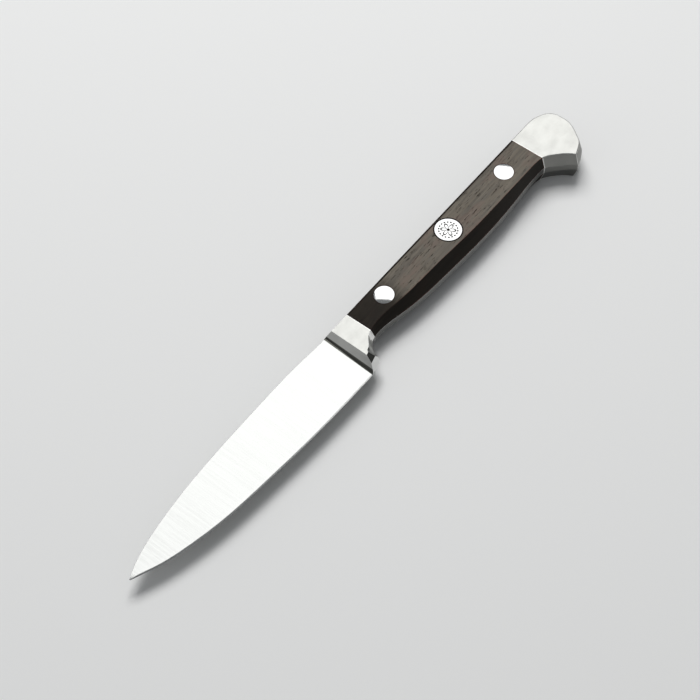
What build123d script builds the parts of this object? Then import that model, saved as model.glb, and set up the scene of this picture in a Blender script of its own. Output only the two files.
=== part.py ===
from build123d import *
import os

# Forged paring knife with a bolster, a full tang, two riveted wooden scales and a steel pommel.
# It lies on its right side. While it is modelled, X runs from the blade's root towards the butt,
# Y runs up from the line of the spine, and Z is measured from the mid plane of the blade.

# Blade
blade_length = 100.0
blade_height = 19.6
blade_tuck = 1.2
spine_thickness = 2.5
edge_shoulder = 0.3
bevel_width = 0.55
tip_height = 0.35
tip_thickness = 0.2
# Along the blade from root to tip: place, rise of the spine and depth of the edge
station_shares = (0.0, 0.12, 0.30, 0.50, 0.68, 0.82, 0.92, 0.97)
spine_shares = (0.005, 0.036, 0.044, 0.029, -0.016, -0.098, -0.198, -0.280)
edge_shares = (1.0, 0.997, 0.975, 0.910, 0.825, 0.690, 0.540, 0.432)
tip_share = 0.357

# Bolster
bolster_length = 10.7
bolster_thickness = 7.0
ramp_length = 2.9
foot_length_share = 0.42
foot_rise_share = 0.25
foot_sink = 0.06
heel_lead = 0.5
chin_setback = 5.0
chin_rise = 1.5
chin_face_width = 2.0
chin_face_rise = 1.5
neck_depth = 11.75
notch_depth_shares = (0.663, 0.795)
notch_place_shares = (0.74, 0.55)
notch_face_places = (7.2, 4.3, 2.4)
notch_face_depths = (8.5, 10.0, 10.9, 10.9)
heel_face_depth = 12.0
neck_slope = 0.12
neck_end_direction = (-0.25, -1)

# Grip, which is the tang with a wooden scale on each side
grip_length = 88.3
grip_thickness = 11.4
grip_depth = 16.0
grip_spine_rise = 0.25
tang_thickness = 2.5
spine_inset = 1.7
belly_inset = 3.1
flat_start = 36.0
belly_place_shares = (0.16, 0.39, 0.58, 0.81, 0.94)
belly_depth_shares = (0.838, 0.956, 1.0, 0.966, 0.925)
belly_inset_shares = (1.0, 1.0, 0.94, 0.72, 0.5)

# Pommel
pommel_length = 19.9
beak_depth = 23.2
pommel_inset = 1.4
pommel_round = 0.35
hook_place_shares = (0.03, 0.16, 0.26)
hook_depth_shares = (0.664, 0.763, 0.845)
beak_place_share = 0.40
butt_place_shares = (0.80, 0.976, 1.0, 0.958, 0.777)
butt_depth_shares = (0.80, 0.555, 0.366, 0.195, 0.064)
butt_start_share = 0.47
hook_tip_direction = (-0.5, 1)
beak_direction = (-1, -0.35)
pommel_centre_share = 0.47

# Rivets, each a stud pressed into a socket
rivet_setback = 12.6
middle_rivet_share = 0.512
rivet_depths = (5.7, 6.85, 7.15)
rivet_head_diameters = (6.7, 9.1, 6.7)
rivet_names = ("front", "middle", "rear")
head_depth = 1.6
socket_diameter = 5.0
stud_diameter = 3.4
socket_reach = 1.0
stud_reach = 1.2
rivet_clearance = 0.04

# One length that every cut runs past the faces it opens, and the depth of a block that spans
# the whole knife, in heights of the blade
overrun = 2.0
block_depth_share = 4.0

# Directions along the knife
forwards = (-1, 0)
backwards = (1, 0)

blade_half = spine_thickness / 2
tang_half = tang_thickness / 2
grip_half = grip_thickness / 2
bolster_half = bolster_thickness / 2
grip_end = bolster_length + grip_length
butt_end = grip_end + pommel_length
handle_spine = grip_spine_rise
block_depth = block_depth_share * blade_height
rivet_places = (rivet_setback, middle_rivet_share * grip_length, grip_length - rivet_setback)


def moved_towards(point, centre, distance):
    """Point of an outline, drawn in towards a centre by a distance."""
    step = Vector(*centre) - Vector(*point)
    place = Vector(*point) + step.normalized() * distance
    return (place.X, place.Y)


def pommel_point(place_share, depth_share):
    """Point of the pommel's outline, as shares of its length and of the depth of its beak."""
    return (grip_end + place_share * pommel_length, -depth_share * beak_depth)


def handle_outline(level, face):
    """Closed outline of the handle at one level: 0 is along the tang, 1 is on the flat faces.

    Spine, butt and hook are drawn in a little between the two, and the belly by much more."""
    spine = handle_spine - face * spine_inset
    centre = pommel_point(pommel_centre_share, pommel_centre_share)
    draw_in = face * pommel_inset

    notch_place = [share * bolster_length for share in notch_place_shares]
    notch_depth = [share * blade_height for share in notch_depth_shares]
    neck = [(bolster_length, neck_depth)] + list(zip(notch_place, notch_depth))
    neck.append((chin_setback, blade_height - chin_rise))
    neck_face = list(zip((bolster_length,) + notch_face_places, notch_face_depths))
    bolster = [
        (a[0] + face * (b[0] - a[0]), -a[1] - face * (b[1] - a[1]))
        for a, b in zip(neck, neck_face)
    ]
    heel = (-heel_lead, -blade_height - face * (heel_face_depth - blade_height))

    belly = [bolster[0]]
    for place, depth, inset in zip(belly_place_shares, belly_depth_shares, belly_inset_shares):
        x = bolster_length + place * grip_length
        belly.append((x, -depth * grip_depth + face * inset * belly_inset))
    hook = [pommel_point(*shares) for shares in zip(hook_place_shares, hook_depth_shares)]
    hook = [moved_towards(point, centre, draw_in) for point in hook]
    beak = moved_towards((grip_end + beak_place_share * pommel_length, -beak_depth), centre, draw_in)
    butt = [pommel_point(*shares) for shares in zip(butt_place_shares, butt_depth_shares)]
    butt = [moved_towards(point, centre, draw_in) for point in butt]
    butt_start = (grip_end + butt_start_share * pommel_length, spine)

    edges = [
        Line((-heel_lead, spine), butt_start),
        Spline(butt_start, *reversed(butt), beak, tangents=[backwards, beak_direction]),
        Spline(beak, *reversed(hook), belly[-1], tangents=[hook_tip_direction, forwards]),
        Spline(*reversed(belly), tangents=[forwards, (-1, -neck_slope)]),
        Spline(*bolster, tangents=[(-1, -neck_slope), neck_end_direction]),
        Line(bolster[-1], heel),
        Line(heel, (-heel_lead, spine)),
    ]
    face_at_level = make_face(edges)
    return face_at_level.moved(Location((0, 0, level)))


def slab(start, end, bottom, top):
    """Block over the whole depth of the knife, between two places and two levels."""
    block = Box(end - start, block_depth, top - bottom)
    return block.moved(Location(((start + end) / 2, 0, (bottom + top) / 2)))


def blade_section(place, spine, edge, spine_half, shoulder_half):
    """Wedge across the blade, with the cutting bevel at its lower end."""
    shoulder = edge + min(bevel_width, (spine - edge) / 2)
    points = [
        (place, spine, spine_half),
        (place, shoulder, shoulder_half),
        (place, edge, 0),
        (place, shoulder, -shoulder_half),
        (place, spine, -spine_half),
    ]
    return make_face(Polyline(*points, close=True))


def build_blade():
    """Loft from the root to the tip, thinner towards the tip and flat ground to the edge."""
    root = (spine_shares[0] * blade_height, -blade_height, blade_half, edge_shoulder / 2)
    sections = [blade_section(blade_tuck, *root)]
    for place, rise, depth in zip(station_shares, spine_shares, edge_shares):
        taper = 1 - place ** 2
        half = tip_thickness / 2 + (blade_half - tip_thickness / 2) * taper
        shoulder = min(edge_shoulder / 2, half)
        spine = rise * blade_height
        edge = -depth * blade_height
        sections.append(blade_section(-place * blade_length, spine, edge, half, shoulder))
    tip = -tip_share * blade_height
    half_tip = tip_height / 2
    thin = tip_thickness / 2
    sections.append(blade_section(-blade_length, tip + half_tip, tip - half_tip, thin, thin / 2))
    under_chin = make_face(
        Polyline(
            (-heel_lead, -blade_height),
            (chin_setback, chin_rise - blade_height),
            (chin_setback, -blade_height - overrun),
            (-heel_lead, -blade_height - overrun),
            close=True,
        )
    )
    return loft(sections) - extrude(under_chin, blade_half, both=True)


def ramp_profile(y, foot_x, foot_z):
    """Side view of half the bolster: a hollow foot, a straight ramp and the flat top."""
    foot = (foot_x, foot_z)
    knee_z = foot_z + foot_rise_share * (bolster_half - foot_z)
    knee = (foot_x + foot_length_share * ramp_length, knee_z)
    crest = (foot_x + ramp_length, bolster_half)
    rear = (bolster_length, bolster_half)
    outline = [
        Line((foot_x, 0), foot),
        TangentArc(foot, knee, tangent=backwards),
        Line(knee, crest),
        Line(crest, rear),
        Line(rear, (bolster_length, 0)),
        Line((bolster_length, 0), (foot_x, 0)),
    ]
    return Plane(origin=(0, y, 0), x_dir=(1, 0, 0), z_dir=(0, -1, 0)) * make_face(outline)


def chin_cut():
    """Wedge below the chin, which leaves a slanting face on each side of its keel."""
    slope = chin_rise / (chin_setback + heel_lead)
    ends = []
    for x in (-heel_lead - overrun, chin_setback + overrun):
        keel = (x + heel_lead) * slope - blade_height
        side = (x, keel + chin_face_rise * overrun, chin_face_width * overrun)
        below = (x, keel - overrun, chin_face_width * overrun)
        ends.append(make_face(Polyline((x, keel, 0), side, below, (x, keel - overrun, 0), close=True)))
    return loft(ends, ruled=True)


def build_bolster(blank):
    """Half of the bolster: the handle's blank, cut to the ramp that runs down to the blade."""
    top_y = handle_spine + overrun
    low_y = -blade_height - overrun
    spine_foot = blade_half - foot_sink
    heel_foot = edge_shoulder / 2 - foot_sink
    body = loft(
        [ramp_profile(top_y, 0, spine_foot), ramp_profile(low_y, -heel_lead, heel_foot)],
        ruled=True,
    )
    return (blank & body) - chin_cut()


def local_half(place):
    """Half thickness of the grip at a place along it: it swells in an arc up to its flat part."""
    if place >= flat_start:
        return grip_half
    drop = grip_half - bolster_half
    radius = (flat_start ** 2 + drop ** 2) / (2 * drop)
    return grip_half - radius + (radius ** 2 - (flat_start - place) ** 2) ** 0.5


def grip_body(bottom):
    """Side view of half the grip, swelling from the bolster to the flat part, as a thick plate."""
    front = (bolster_length, bolster_half)
    flat = (bolster_length + flat_start, grip_half)
    rear = (grip_end, grip_half)
    outline = [
        TangentArc(flat, front, tangent=forwards),
        Line(front, (bolster_length, bottom)),
        Line((bolster_length, bottom), (grip_end, bottom)),
        Line((grip_end, bottom), rear),
        Line(rear, flat),
    ]
    side = Plane(origin=(0, 0, 0), x_dir=(1, 0, 0), z_dir=(0, -1, 0)) * make_face(outline)
    return extrude(side, block_depth / 2, both=True)


def pin(x, y, diameter, bottom, top):
    """Upright round bar."""
    bar = Cylinder(diameter / 2, top - bottom)
    return bar.moved(Location((x, y, (bottom + top) / 2)))


def build_rivet(place, depth, head_diameter, blank):
    """Stud from the left side and socket from the right side, ground flush with the scales.

    Returns the stud, the socket, the hole for a scale on the left side and the tang's hole."""
    x = bolster_length + place
    y = -depth
    seat = local_half(place) - head_depth
    crown = grip_half + overrun
    socket_top = tang_half + socket_reach
    stud_low = -tang_half - stud_reach
    hole_diameter = socket_diameter + 2 * rivet_clearance
    head = pin(x, y, head_diameter, seat, crown) & blank
    low_head = head.mirror(Plane.XY)
    stud = head + pin(x, y, stud_diameter, stud_low, seat)
    socket = low_head + pin(x, y, socket_diameter, -seat, socket_top)
    bore_low = stud_low - rivet_clearance
    socket -= pin(x, y, stud_diameter + 2 * rivet_clearance, bore_low, socket_top + overrun)
    hole = pin(x, y, hole_diameter, -overrun, seat)
    hole += pin(x, y, head_diameter + 2 * rivet_clearance, seat, crown)
    tang_hole = pin(x, y, hole_diameter, -tang_half - overrun, tang_half + overrun)
    return stud, socket, hole, tang_hole


def round_pommel(half):
    """Pommel half with the sharp rim of its flat face broken."""
    rim = half.faces().sort_by(Axis.Z)[-1].edges()
    rim = rim.filter_by(lambda edge: edge.center().X > grip_end + rivet_clearance)
    return fillet(rim, pommel_round)


core = handle_outline(0, 0)
swell = loft([handle_outline(tang_half, 0), handle_outline(grip_half, 1)], ruled=True)
blank = extrude(core, tang_half) + swell
grip_shell = swell & grip_body(tang_half)

bolster_top = build_bolster(blank)
pommel_top = blank & slab(grip_end, butt_end + overrun, -overrun, grip_half + overrun)
pommel_top = round_pommel(pommel_top)
tang = extrude(core, tang_half, both=True)
tang &= slab(bolster_length - overrun, grip_end + overrun, -tang_half, tang_half)
left_scale = grip_shell

parts = {}
for name, place, depth, diameter in zip(
    rivet_names, rivet_places, rivet_depths, rivet_head_diameters
):
    stud, socket, hole, tang_hole = build_rivet(place, depth, diameter, grip_shell)
    parts[name + "_rivet_stud"] = stud
    parts[name + "_rivet_socket"] = socket
    left_scale -= hole
    tang -= tang_hole

forging = build_blade() + bolster_top + bolster_top.mirror(Plane.XY)
forging += pommel_top + pommel_top.mirror(Plane.XY) + tang
parts["forged_blade"] = forging
parts["left_scale"] = left_scale
parts["right_scale"] = left_scale.mirror(Plane.XY)

# The finished knife stands with the middle of its underside at the origin
box = Compound(children=[Compound(part.solids()) for part in parts.values()]).bounding_box()
to_origin = Location((-box.center().X, -box.center().Y, -box.min.Z))

os.makedirs("parts", exist_ok=True)
for name, part in parts.items():
    solids = part.solids()
    placed = [solid.moved(to_origin) for solid in solids]
    shape = placed[0] if len(placed) == 1 else Compound(placed)
    shape.label = name
    export_step(shape, "parts/" + name + ".step")
    print(name, len(solids), round(shape.volume, 1))
print("box", box.min, box.max)
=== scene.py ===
import math
import bpy
import numpy as np
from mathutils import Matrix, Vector


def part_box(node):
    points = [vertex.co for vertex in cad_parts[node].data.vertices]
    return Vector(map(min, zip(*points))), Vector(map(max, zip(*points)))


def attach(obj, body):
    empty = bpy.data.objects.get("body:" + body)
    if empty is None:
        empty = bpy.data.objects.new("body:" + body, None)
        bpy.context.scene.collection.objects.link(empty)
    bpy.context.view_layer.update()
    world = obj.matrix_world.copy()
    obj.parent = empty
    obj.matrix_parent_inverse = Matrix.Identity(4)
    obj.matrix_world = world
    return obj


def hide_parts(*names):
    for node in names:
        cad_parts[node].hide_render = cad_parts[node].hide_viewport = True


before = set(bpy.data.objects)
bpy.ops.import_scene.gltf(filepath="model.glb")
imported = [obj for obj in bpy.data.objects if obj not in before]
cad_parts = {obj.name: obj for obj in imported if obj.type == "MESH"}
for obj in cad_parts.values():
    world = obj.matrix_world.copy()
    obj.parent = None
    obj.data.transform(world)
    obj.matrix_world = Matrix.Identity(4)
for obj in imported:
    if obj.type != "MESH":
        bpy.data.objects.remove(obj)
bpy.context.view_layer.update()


# Blade, bolster, tang and pommel are one forging of stainless steel. The blade is ground across
# and polished nearly to a mirror, while the bolster and the pommel keep a softer satin. The hollow
# foot of the bolster carries a painted dark reflection of the dim room above it.
scale_low, scale_high = [Vector(corner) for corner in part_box("left_scale")]
blade_height = 0.0196
bolster_length = 0.0107
spine_rise = 0.00025
heel_lead = 0.0005
foot_length = 0.0012
soft_line = 0.00008
joint_line = 0.0003
edge_highlight_width = 0.0003
steel_rounding = 0.00012
steel_relief = 0.00005
ground_line_size = (0.0004, 0.02, 0.02)
cloud_size = (0.006, 0.004, 0.004)
satin_size = (0.0012, 0.0006, 0.0006)
blade_dark = (0.525, 0.532, 0.518, 1)
blade_light = (0.550, 0.554, 0.540, 1)
satin_dark = (0.49, 0.49, 0.465, 1)
satin_light = (0.55, 0.55, 0.525, 1)
painted_dark_reflection = (0.10, 0.10, 0.09, 1)
painted_wall_shade = (0.20, 0.20, 0.19, 1)
painted_edge_highlight = (0.80, 0.80, 0.78, 1)
chin_painted_reflection = (0.95, 0.95, 0.93, 1)
blade_root = scale_low.x - bolster_length
spine_line = scale_high.y - spine_rise
grip_front = scale_low.x
grip_rear = scale_high.x


def shader(name):
    """Starts a material and gives it with its node tree and its main shader."""
    finish = bpy.data.materials.new(name)
    finish.use_nodes = True
    return finish, finish.node_tree, finish.node_tree.nodes["Principled BSDF"]


def node(tree, kind, settings=None, **sockets):
    """Adds a node. Settings are its own choices, and a socket takes a value or another's output."""
    made = tree.nodes.new("ShaderNode" + kind)
    for key, value in (settings or {}).items():
        setattr(made, key, value)
    for key, value in sockets.items():
        plug = made.inputs[int(key[1:])] if key[0] == "_" else made.inputs[key]
        if isinstance(value, bpy.types.NodeSocket):
            tree.links.new(value, plug)
        else:
            plug.default_value = value
    return made


def math_of(tree, operation, a, b):
    """One step of arithmetic."""
    return node(tree, "Math", {"operation": operation}, _0=a, _1=b).outputs[0]


def ramp_of(tree, value, start, end, low=0.0, high=1.0):
    """Soft step: low up to start, high from end on."""
    step = node(tree, "MapRange", {"interpolation_type": "SMOOTHSTEP"}, Value=value)
    for plug, level in zip(("From Min", "From Max", "To Min", "To Max"), (start, end, low, high)):
        step.inputs[plug].default_value = level
    return step.outputs["Result"]


def blend(tree, mask, first, second):
    """First colour where the mask is 0, second where it is 1."""
    mixed = node(tree, "Mix", {"data_type": "RGBA"})
    for plug, value in (("Factor_Float", mask), ("A_Color", first), ("B_Color", second)):
        socket = next(s for s in mixed.inputs if s.identifier == plug)
        if isinstance(value, bpy.types.NodeSocket):
            tree.links.new(value, socket)
        else:
            socket.default_value = value
    return next(s for s in mixed.outputs if s.identifier == "Result_Color")


def make_grain():
    """Noise in the piece's own coordinates, drawn out to a given size along each axis."""
    group = bpy.data.node_groups.new("drawn_out_noise", "ShaderNodeTree")
    size = group.interface.new_socket("Size", in_out="INPUT", socket_type="NodeSocketVector")
    size.default_value = (0.001, 0.001, 0.001)
    group.interface.new_socket("Value", in_out="OUTPUT", socket_type="NodeSocketFloat")
    given = group.nodes.new("NodeGroupInput").outputs["Size"]
    place = node(group, "TexCoord").outputs["Object"]
    scaled = node(group, "VectorMath", {"operation": "DIVIDE"}, _0=place, _1=given).outputs[0]
    noise = node(group, "TexNoise", Vector=scaled, Scale=1.0, Detail=3.0, Roughness=0.6)
    result = group.nodes.new("NodeGroupOutput")
    group.links.new(noise.outputs[0], result.inputs["Value"])
    return group


grain = make_grain()


def grain_of(tree, size):
    """Puts the grain into a material at one size."""
    used = tree.nodes.new("ShaderNodeGroup")
    used.node_tree = grain
    used.inputs["Size"].default_value = size
    return used.outputs["Value"]


def dress(name, finish):
    """Gives one CAD piece its finish."""
    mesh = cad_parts[name].data
    mesh.materials.clear()
    mesh.materials.append(finish)


def make_sharp_edges():
    """Mask of the sharp edges, 1 where a rounded edge would turn the surface away."""
    group = bpy.data.node_groups.new("sharp_edges", "ShaderNodeTree")
    width = group.interface.new_socket("Width", in_out="INPUT", socket_type="NodeSocketFloat")
    width.default_value = 0.0003
    group.interface.new_socket("Mask", in_out="OUTPUT", socket_type="NodeSocketFloat")
    given = group.nodes.new("NodeGroupInput").outputs["Width"]
    rounded = node(group, "Bevel", {"samples": 8}, Radius=given).outputs[0]
    flat = node(group, "NewGeometry").outputs["True Normal"]
    match = node(group, "VectorMath", {"operation": "DOT_PRODUCT"}, _0=rounded, _1=flat)
    mask = ramp_of(group, match.outputs["Value"], 0.90, 0.995, 1.0, 0.0)
    result = group.nodes.new("NodeGroupOutput")
    group.links.new(mask, result.inputs["Mask"])
    return group


sharp_edges = make_sharp_edges()


def edges_of(tree, width):
    """Puts the mask of worn edges into a material at one width."""
    used = tree.nodes.new("ShaderNodeGroup")
    used.node_tree = sharp_edges
    used.inputs["Width"].default_value = width
    return used.outputs["Mask"]


def facing(tree, direction, narrow):
    """Mask of the faces that look along one direction, to within a cosine."""
    flat = node(tree, "NewGeometry").outputs["True Normal"]
    aim = Vector(direction).normalized()
    match = node(tree, "VectorMath", {"operation": "DOT_PRODUCT"}, _0=flat, _1=aim)
    fade = 0.01
    return ramp_of(tree, match.outputs["Value"], narrow, narrow + fade)


def level_of(tree):
    """How flat a face lies, from 1 for level down to 0 for upright."""
    flat = node(tree, "NewGeometry").outputs["True Normal"]
    upward = node(tree, "SeparateXYZ", Vector=flat).outputs[2]
    return math_of(tree, "ABSOLUTE", upward, 0)


def line_at(tree, value, place):
    """Mask of a thin line at a place, fading out on both sides."""
    away = math_of(tree, "ABSOLUTE", math_of(tree, "SUBTRACT", value, place), 0)
    return ramp_of(tree, away, soft_line, joint_line, 1, 0)


# Two faces of the chin carry painted reflections, one bright and one dark, set to the levels that the
# photograph shows.
chin_face_normal = (0.232, -0.82, 0.524)
chin_side_normal = (0.133, -0.486, 0.864)


def steel_finish():
    """Ground blade, dark foot, satin bolster and pommel, told apart by their place."""
    finish, tree, main = shader("forged_steel")
    place = node(tree, "TexCoord").outputs["Object"]
    axes = node(tree, "SeparateXYZ", Vector=place).outputs
    depth = math_of(tree, "SUBTRACT", spine_line, axes[1])
    lead = math_of(tree, "MULTIPLY", depth, heel_lead / blade_height)
    along = math_of(tree, "ADD", math_of(tree, "SUBTRACT", axes[0], blade_root), lead)
    past_root = ramp_of(tree, along, -soft_line, soft_line)
    past_foot = ramp_of(tree, along, foot_length - soft_line, foot_length + soft_line)
    foot = math_of(tree, "SUBTRACT", past_root, past_foot)

    across = grain_of(tree, ground_line_size)
    cloud = grain_of(tree, cloud_size)
    satin = grain_of(tree, satin_size)
    blade_colour = blend(tree, across, blade_dark, blade_light)
    satin_colour = blend(tree, satin, satin_dark, satin_light)
    colour = blend(tree, past_root, blade_colour, satin_colour)
    # The hollow foot gets a painted dark reflection.
    colour = blend(tree, foot, colour, painted_dark_reflection)
    # Steep walls past the foot are darkened with painted shade.
    steep_shade = ramp_of(tree, level_of(tree), 0.40, 0.60, 1, 0)
    steep_shade = math_of(tree, "MULTIPLY", steep_shade, past_foot)
    colour = blend(tree, steep_shade, colour, painted_wall_shade)
    # Painted highlights: thin bright lines at the joints with the wood and along the sharp edges.
    joints = math_of(tree, "MAXIMUM", line_at(tree, axes[0], grip_front), line_at(tree, axes[0], grip_rear))
    bright = math_of(tree, "MAXIMUM", joints, edges_of(tree, edge_highlight_width))
    bright = math_of(tree, "MULTIPLY", bright, past_foot)
    colour = blend(tree, bright, colour, painted_edge_highlight)
    # Painted reflections on two faces of the chin, one bright and one dark.
    colour = blend(tree, facing(tree, chin_face_normal, 0.97), colour, chin_painted_reflection)
    colour = blend(tree, facing(tree, chin_side_normal, 0.98), colour, painted_dark_reflection)
    tree.links.new(colour, main.inputs["Base Color"])
    main.inputs["Metallic"].default_value = 1.0

    blade_rough = ramp_of(tree, across, 0.3, 0.7, 0.17, 0.23)
    satin_rough = ramp_of(tree, cloud, 0.3, 0.7, 0.30, 0.38)
    rough = node(tree, "Mix", _0=past_root, _2=blade_rough, _3=satin_rough).outputs[0]
    tree.links.new(rough, main.inputs["Roughness"])

    edge = node(tree, "Bevel", {"samples": 6}, Radius=steel_rounding).outputs[0]
    bump = node(tree, "Bump", Strength=0.08, Distance=steel_relief, Height=satin, Normal=edge)
    tree.links.new(bump.outputs[0], main.inputs["Normal"])
    return finish


dress("forged_blade", steel_finish())


# Each scale is a slab of dense dark hardwood, riveted to the tang and shaped together with it. Its
# face is oiled and rubbed to a low sheen, and open pores show as short dark dashes along the grain.
# The thinner front end is darkened with painted shade.
right_scale_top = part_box("right_scale")[1].z
middle_level = right_scale_top + (scale_low.z - right_scale_top) / 2
spine_lean = 0.382
tang_half = 0.00125
spine_shade = 0.0005
shade_widths = {"front_rivet_stud": 0.00012, "middle_rivet_stud": 0.00030, "rear_rivet_stud": 0.00010}
shaded_front_end = 0.0095
shaded_front_start = 0.0205
fibre_size = (0.030, 0.0013, 0.0013)
fine_fibre_size = (0.009, 0.0004, 0.0004)
pore_size = (0.0034, 0.00034, 0.00034)
patch_size = (0.012, 0.005, 0.005)
crease_width = 0.0006
wood_rounding = 0.0002
pore_depth = 0.00005
dark_fibre = (0.010, 0.007, 0.004, 1)
light_fibre = (0.042, 0.032, 0.020, 1)
red_patch = (0.050, 0.018, 0.011, 1)
red_crease = (0.110, 0.016, 0.009, 1)
pores_and_painted_shade = (0.004, 0.0025, 0.0018, 1)


def wood_finish():
    """Near-black brown heartwood with fibres, pores and a warm tinge along its creases.

    A dull dark shader is mixed in the pores, and as painted shade round the rivets, along the
    spine, on the steep sides and at the front end."""
    finish, tree, main = shader("dark_heartwood")
    place = node(tree, "TexCoord").outputs["Object"]
    axes = node(tree, "SeparateXYZ", Vector=place).outputs
    fibres = grain_of(tree, fibre_size)
    fine = grain_of(tree, fine_fibre_size)
    dashes = grain_of(tree, pore_size)
    patches = grain_of(tree, patch_size)
    pores = ramp_of(tree, dashes, 0.60, 0.66)

    colour = blend(tree, ramp_of(tree, fibres, 0.35, 0.65), dark_fibre, light_fibre)
    red = ramp_of(tree, patches, 0.50, 0.62)
    colour = blend(tree, math_of(tree, "MULTIPLY", red, 0.5), colour, red_patch)
    crease = edges_of(tree, crease_width)
    colour = blend(tree, math_of(tree, "MULTIPLY", crease, 0.8), colour, red_crease)
    tree.links.new(colour, main.inputs["Base Color"])
    rough = ramp_of(tree, fine, 0.3, 0.7, 0.34, 0.48)
    tree.links.new(rough, main.inputs["Roughness"])
    main.inputs["Specular IOR Level"].default_value = 1.0
    main.inputs["Specular Tint"].default_value = (1.0, 0.92, 0.80, 1)

    flat = node(tree, "CombineXYZ", X=axes[0], Y=axes[1]).outputs[0]
    # Besides the pores, the dull shader is painted shade round the rivets, along the spine and on the steep
    # sides.
    pores_and_shade = math_of(tree, "MULTIPLY", pores, 0.8)
    for name, width in shade_widths.items():
        low, high = [Vector(corner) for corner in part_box(name)]
        centre = (low + high) / 2
        rim = (high.x - low.x) / 2 + width
        reach = node(tree, "VectorMath", {"operation": "DISTANCE"}, _0=flat, _1=(centre.x, centre.y, 0))
        ring = ramp_of(tree, reach.outputs["Value"], rim, rim + soft_line, 1, 0)
        pores_and_shade = math_of(tree, "MAXIMUM", pores_and_shade, ring)
    height = math_of(tree, "ABSOLUTE", math_of(tree, "SUBTRACT", axes[2], middle_level), 0)
    lean = math_of(tree, "MULTIPLY", math_of(tree, "SUBTRACT", height, tang_half), spine_lean)
    inside = math_of(tree, "SUBTRACT", math_of(tree, "SUBTRACT", scale_high.y, lean), axes[1])
    pores_and_shade = math_of(tree, "MAXIMUM", pores_and_shade, ramp_of(tree, inside, spine_shade, 1.4 * spine_shade, 0.9, 0))
    steep_shade = ramp_of(tree, level_of(tree), 0.75, 0.9, 0.85, 0)
    steep_shade = math_of(tree, "MULTIPLY", steep_shade, ramp_of(tree, crease, 0, 1, 1, 0.45))
    pores_and_shade = math_of(tree, "MAXIMUM", pores_and_shade, steep_shade)
    # The front end is darkened with painted shade.
    from_front = math_of(tree, "SUBTRACT", axes[0], grip_front)
    front = ramp_of(tree, from_front, shaded_front_end, shaded_front_start, 0.85, 0)
    pores_and_shade = math_of(tree, "MAXIMUM", pores_and_shade, front)

    relief = math_of(tree, "SUBTRACT", math_of(tree, "MULTIPLY", fine, 0.35), pores)
    edge = node(tree, "Bevel", {"samples": 6}, Radius=wood_rounding).outputs[0]
    bump = node(tree, "Bump", Strength=0.3, Distance=pore_depth, Height=relief, Normal=edge)
    tree.links.new(bump.outputs[0], main.inputs["Normal"])

    dark = node(tree, "BsdfPrincipled", Roughness=0.5)
    dark.inputs["Base Color"].default_value = pores_and_painted_shade
    dark.inputs["Specular IOR Level"].default_value = 0.07
    mixed = node(tree, "MixShader", _0=pores_and_shade, _1=main.outputs[0], _2=dark.outputs[0])
    surface = tree.nodes["Material Output"].inputs["Surface"]
    tree.links.new(mixed.outputs[0], surface)
    return finish


heartwood = wood_finish()
dress("left_scale", heartwood)
dress("right_scale", heartwood)


# Three steel rivets, each a stud pressed into a socket, hold the scales. Their heads are ground
# flush with the wood and polished, with a hairline of painted shade round each one.
rim_shade_width = 0.00004
rim_slope = 0.20
wave_height = 0.00002
wave_size = (0.0016, 0.0016, 0.0016)
polished = (0.62, 0.62, 0.61, 1)
rim_painted_shade = (0.03, 0.027, 0.024, 1)


def rivet_finish(name, rim_shade):
    """Polished steel with a dark hairline at the rim of the head.

    The head is flat, and the finish bends the light as a slight dome would."""
    finish, tree, main = shader(name + "_steel")
    low, high = [Vector(corner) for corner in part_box(name)]
    centre = (low + high) / 2
    radius = (high.x - low.x) / 2
    place = node(tree, "TexCoord").outputs["Object"]
    axes = node(tree, "SeparateXYZ", Vector=place).outputs
    flat = node(tree, "CombineXYZ", X=axes[0], Y=axes[1]).outputs[0]
    reach = node(tree, "VectorMath", {"operation": "DISTANCE"}, _0=flat, _1=(centre.x, centre.y, 0))
    # The dark hairline at the rim of the head is painted shade.
    rim = ramp_of(tree, reach.outputs["Value"], radius - rim_shade - soft_line, radius - rim_shade)
    colour = blend(tree, rim, polished, rim_painted_shade)
    tree.links.new(colour, main.inputs["Base Color"])
    tree.links.new(ramp_of(tree, rim, 0.0, 1.0, 0.10, 0.6), main.inputs["Roughness"])
    main.inputs["Metallic"].default_value = 1.0
    waves = math_of(tree, "MULTIPLY", grain_of(tree, wave_size), wave_height)
    squared = math_of(tree, "POWER", reach.outputs["Value"], 2)
    dome = math_of(tree, "MULTIPLY", squared, -rim_slope / (2 * radius))
    bump = node(tree, "Bump", Strength=1.0, Distance=1.0, Height=math_of(tree, "ADD", dome, waves))
    tree.links.new(bump.outputs[0], main.inputs["Normal"])
    return finish


for name in ("front_rivet", "rear_rivet"):
    for half in ("_stud", "_socket"):
        dress(name + half, rivet_finish(name + half, rim_shade_width))
dress("middle_rivet_socket", rivet_finish("middle_rivet_socket", rim_shade_width))


# The larger middle rivet carries an engraved rosette. The cuts are coloured dark, and a groove runs
# round the rim of the head.
stud_low, stud_high = [Vector(corner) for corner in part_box("middle_rivet_stud")]
head_depth = 0.0016
shank_radius = 0.0017
cut_depth = 0.00007
cut_width = 0.00024
petal_reach = 0.0024
ring_radius = 0.0031
pip_radius = 0.0005
rim_width = 0.0001
petals = 6
dashes = 18
face_rings = 90
turns = 288
engraving_dark = (0.035, 0.033, 0.03, 1)


def rosette_cut(radius, turn):
    """How deep the engraving is, 0 to 1, at a radius and an angle.

    Six petals stand round a pip, and a ring of dashes runs round them."""
    petal = petal_reach * np.abs(np.cos(petals / 2 * turn)) ** 0.7
    line = np.exp(-(((radius - petal) / cut_width) ** 2)) * (radius > pip_radius)
    dash = 0.5 + 0.5 * np.tanh(6 * np.cos(dashes * turn))
    ring = np.exp(-(((radius - ring_radius) / cut_width) ** 2)) * dash
    pip = np.exp(-((radius / pip_radius) ** 4))
    return np.clip(line + ring + pip, 0, 1)


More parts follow.
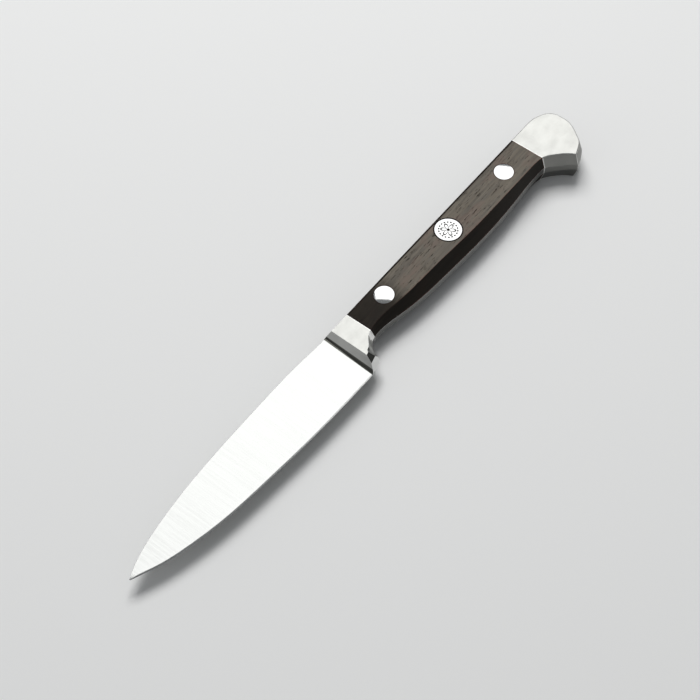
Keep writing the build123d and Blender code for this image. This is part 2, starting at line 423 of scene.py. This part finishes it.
def rosette_head():
    """Stud turned as one surface: rows of points round its axis, from the middle of the head out,
    down the side, in to the shank and down to its end. The head's rows sink by the engraving."""
    centre = (stud_low + stud_high) / 2
    head_radius = (stud_high.x - stud_low.x) / 2
    flat_radius = head_radius - rim_width
    seat = stud_high.z - head_depth
    turn = np.linspace(0, 2 * np.pi, turns, endpoint=False)
    face_radii = np.linspace(0.01 * pip_radius, flat_radius, face_rings)
    radii = np.concatenate([face_radii, [flat_radius + rim_width / 3, head_radius - rim_width / 3]])
    radii = np.concatenate([radii, [head_radius, head_radius, shank_radius, shank_radius]])
    level = np.full(len(radii), stud_high.z)
    level[face_rings:face_rings + 2] -= 2 * cut_depth
    level[-3:] = (seat, seat, stud_low.z)
    cut = np.zeros((len(radii), turns))
    cut[:face_rings] = rosette_cut(face_radii[:, None], turn[None, :])
    points = np.empty((len(radii), turns, 3))
    points[:, :, 0] = centre.x + radii[:, None] * np.cos(turn)
    points[:, :, 1] = centre.y + radii[:, None] * np.sin(turn)
    points[:, :, 2] = level[:, None] - cut_depth * cut
    here = np.arange((len(radii) - 1) * turns).reshape(-1, turns)
    beside = np.roll(here, -1, axis=1)
    quads = np.stack([here, here + turns, beside + turns, beside], axis=-1).reshape(-1, 4)
    last = len(radii) * turns - 1
    caps = [list(range(turns)), list(range(last, last - turns, -1))]
    mesh = bpy.data.meshes.new("middle_rivet_rosette")
    mesh.from_pydata(points.reshape(-1, 3).tolist(), [], quads.tolist() + caps)
    mesh.shade_smooth()
    piece = bpy.data.objects.new("middle_rivet_rosette", mesh)
    bpy.context.collection.objects.link(piece)
    return piece


def rosette_finish():
    """Polished steel, dark wherever the surface lies below the face of the head."""
    finish, tree, main = shader("engraved_steel")
    place = node(tree, "TexCoord").outputs["Object"]
    axes = node(tree, "SeparateXYZ", Vector=place).outputs
    sunk = math_of(tree, "SUBTRACT", stud_high.z, axes[2])
    dark = ramp_of(tree, sunk, 0.15 * cut_depth, 0.7 * cut_depth)
    colour = blend(tree, dark, polished, engraving_dark)
    tree.links.new(colour, main.inputs["Base Color"])
    tree.links.new(ramp_of(tree, dark, 0.0, 1.0, 0.12, 0.55), main.inputs["Roughness"])
    main.inputs["Metallic"].default_value = 1.0
    return finish


rosette = rosette_head()
rosette.data.materials.append(rosette_finish())
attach(rosette, "root")
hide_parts("middle_rivet_stud")


# The camera looks down on the knife from the side of its edge, as in the photograph. The knife
# points away from the lens at an angle, with its tip near the lower left corner.
knife_turn = math.radians(52.2)
view_height = math.radians(56.0)
view_target = Vector((-0.00378, 0.00534, 0.0))
view_distance = 0.6314
focal_pixels = 2000.0
image_pixels = 700.0


def from_viewer(right, away, up):
    """Turns a step seen from the camera, to the right, away and up, into the knife's axes."""
    x = right * math.cos(knife_turn) + away * math.sin(knife_turn)
    y = away * math.cos(knife_turn) - right * math.sin(knife_turn)
    return Vector((x, y, up))


camera_data = bpy.data.cameras.new("camera")
camera_data.sensor_width = 36.0
camera_data.lens = camera_data.sensor_width * focal_pixels / image_pixels
camera_data.clip_start = 0.01
camera = bpy.data.objects.new("camera", camera_data)
bpy.context.collection.objects.link(camera)
to_lens = from_viewer(0, -math.cos(view_height), math.sin(view_height))
camera.location = view_target + to_lens * view_distance
camera.rotation_euler = (-to_lens).to_track_quat("-Z", "Y").to_euler()
bpy.context.scene.camera = camera


# The studio is a pale matt table in a dim room. A high soft light, not seen in reflections, throws
# the shadow towards the camera. A wide box behind the knife lights nothing matt and gives the
# steel its sheen, and a weak panel lifts the front.
lamp_distance = 1.3


def soft_box(name, heading, height, spread, rise, radiance):
    """Flat lamp facing the knife. Heading and height are its direction from the knife, and spread
    and rise the angles it fills, all in degrees."""
    lamp = bpy.data.lights.new(name, "AREA")
    lamp.shape = "RECTANGLE"
    lamp.size = 2 * lamp_distance * math.tan(math.radians(spread / 2))
    lamp.size_y = 2 * lamp_distance * math.tan(math.radians(rise / 2))
    lamp.energy = radiance * math.pi * lamp.size * lamp.size_y
    stand = bpy.data.objects.new(name, lamp)
    bpy.context.collection.objects.link(stand)
    heading, height = math.radians(heading), math.radians(height)
    flat = math.cos(height)
    step = from_viewer(flat * math.cos(heading), flat * math.sin(heading), math.sin(height))
    stand.location = step * lamp_distance
    stand.rotation_euler = (-step).to_track_quat("-Z", "Y").to_euler()
    return stand


shade_box = soft_box("shade_box", 98, 57, 34, 26, 8.6)
shade_box.visible_glossy = False
glow_box = soft_box("glow_box", 83, 53, 48, 42, 1.72)
glow_box.visible_diffuse = False
soft_box("side_panel", 212, 20, 40, 24, 0.4)

world = bpy.data.worlds.new("room")
world.use_nodes = True
world.node_tree.nodes["Background"].inputs["Color"].default_value = (0.94, 0.97, 1.0, 1)
world.node_tree.nodes["Background"].inputs["Strength"].default_value = 0.25
bpy.context.scene.world = world

table_reach = 3.0
table_mesh = bpy.data.meshes.new("table_top")
corners = [(-1, -1), (1, -1), (1, 1), (-1, 1)]
table_mesh.from_pydata([(x * table_reach, y * table_reach, 0) for x, y in corners], [], [(0, 1, 2, 3)])
table = bpy.data.objects.new("table_top", table_mesh)
bpy.context.collection.objects.link(table)
table_finish, table_tree, table_shader = shader("pale_table")
table_shader.inputs["Base Color"].default_value = (0.86, 0.86, 0.85, 1)
table_shader.inputs["Roughness"].default_value = 0.7
table_mesh.materials.append(table_finish)

bpy.context.scene.view_settings.view_transform = "Standard"
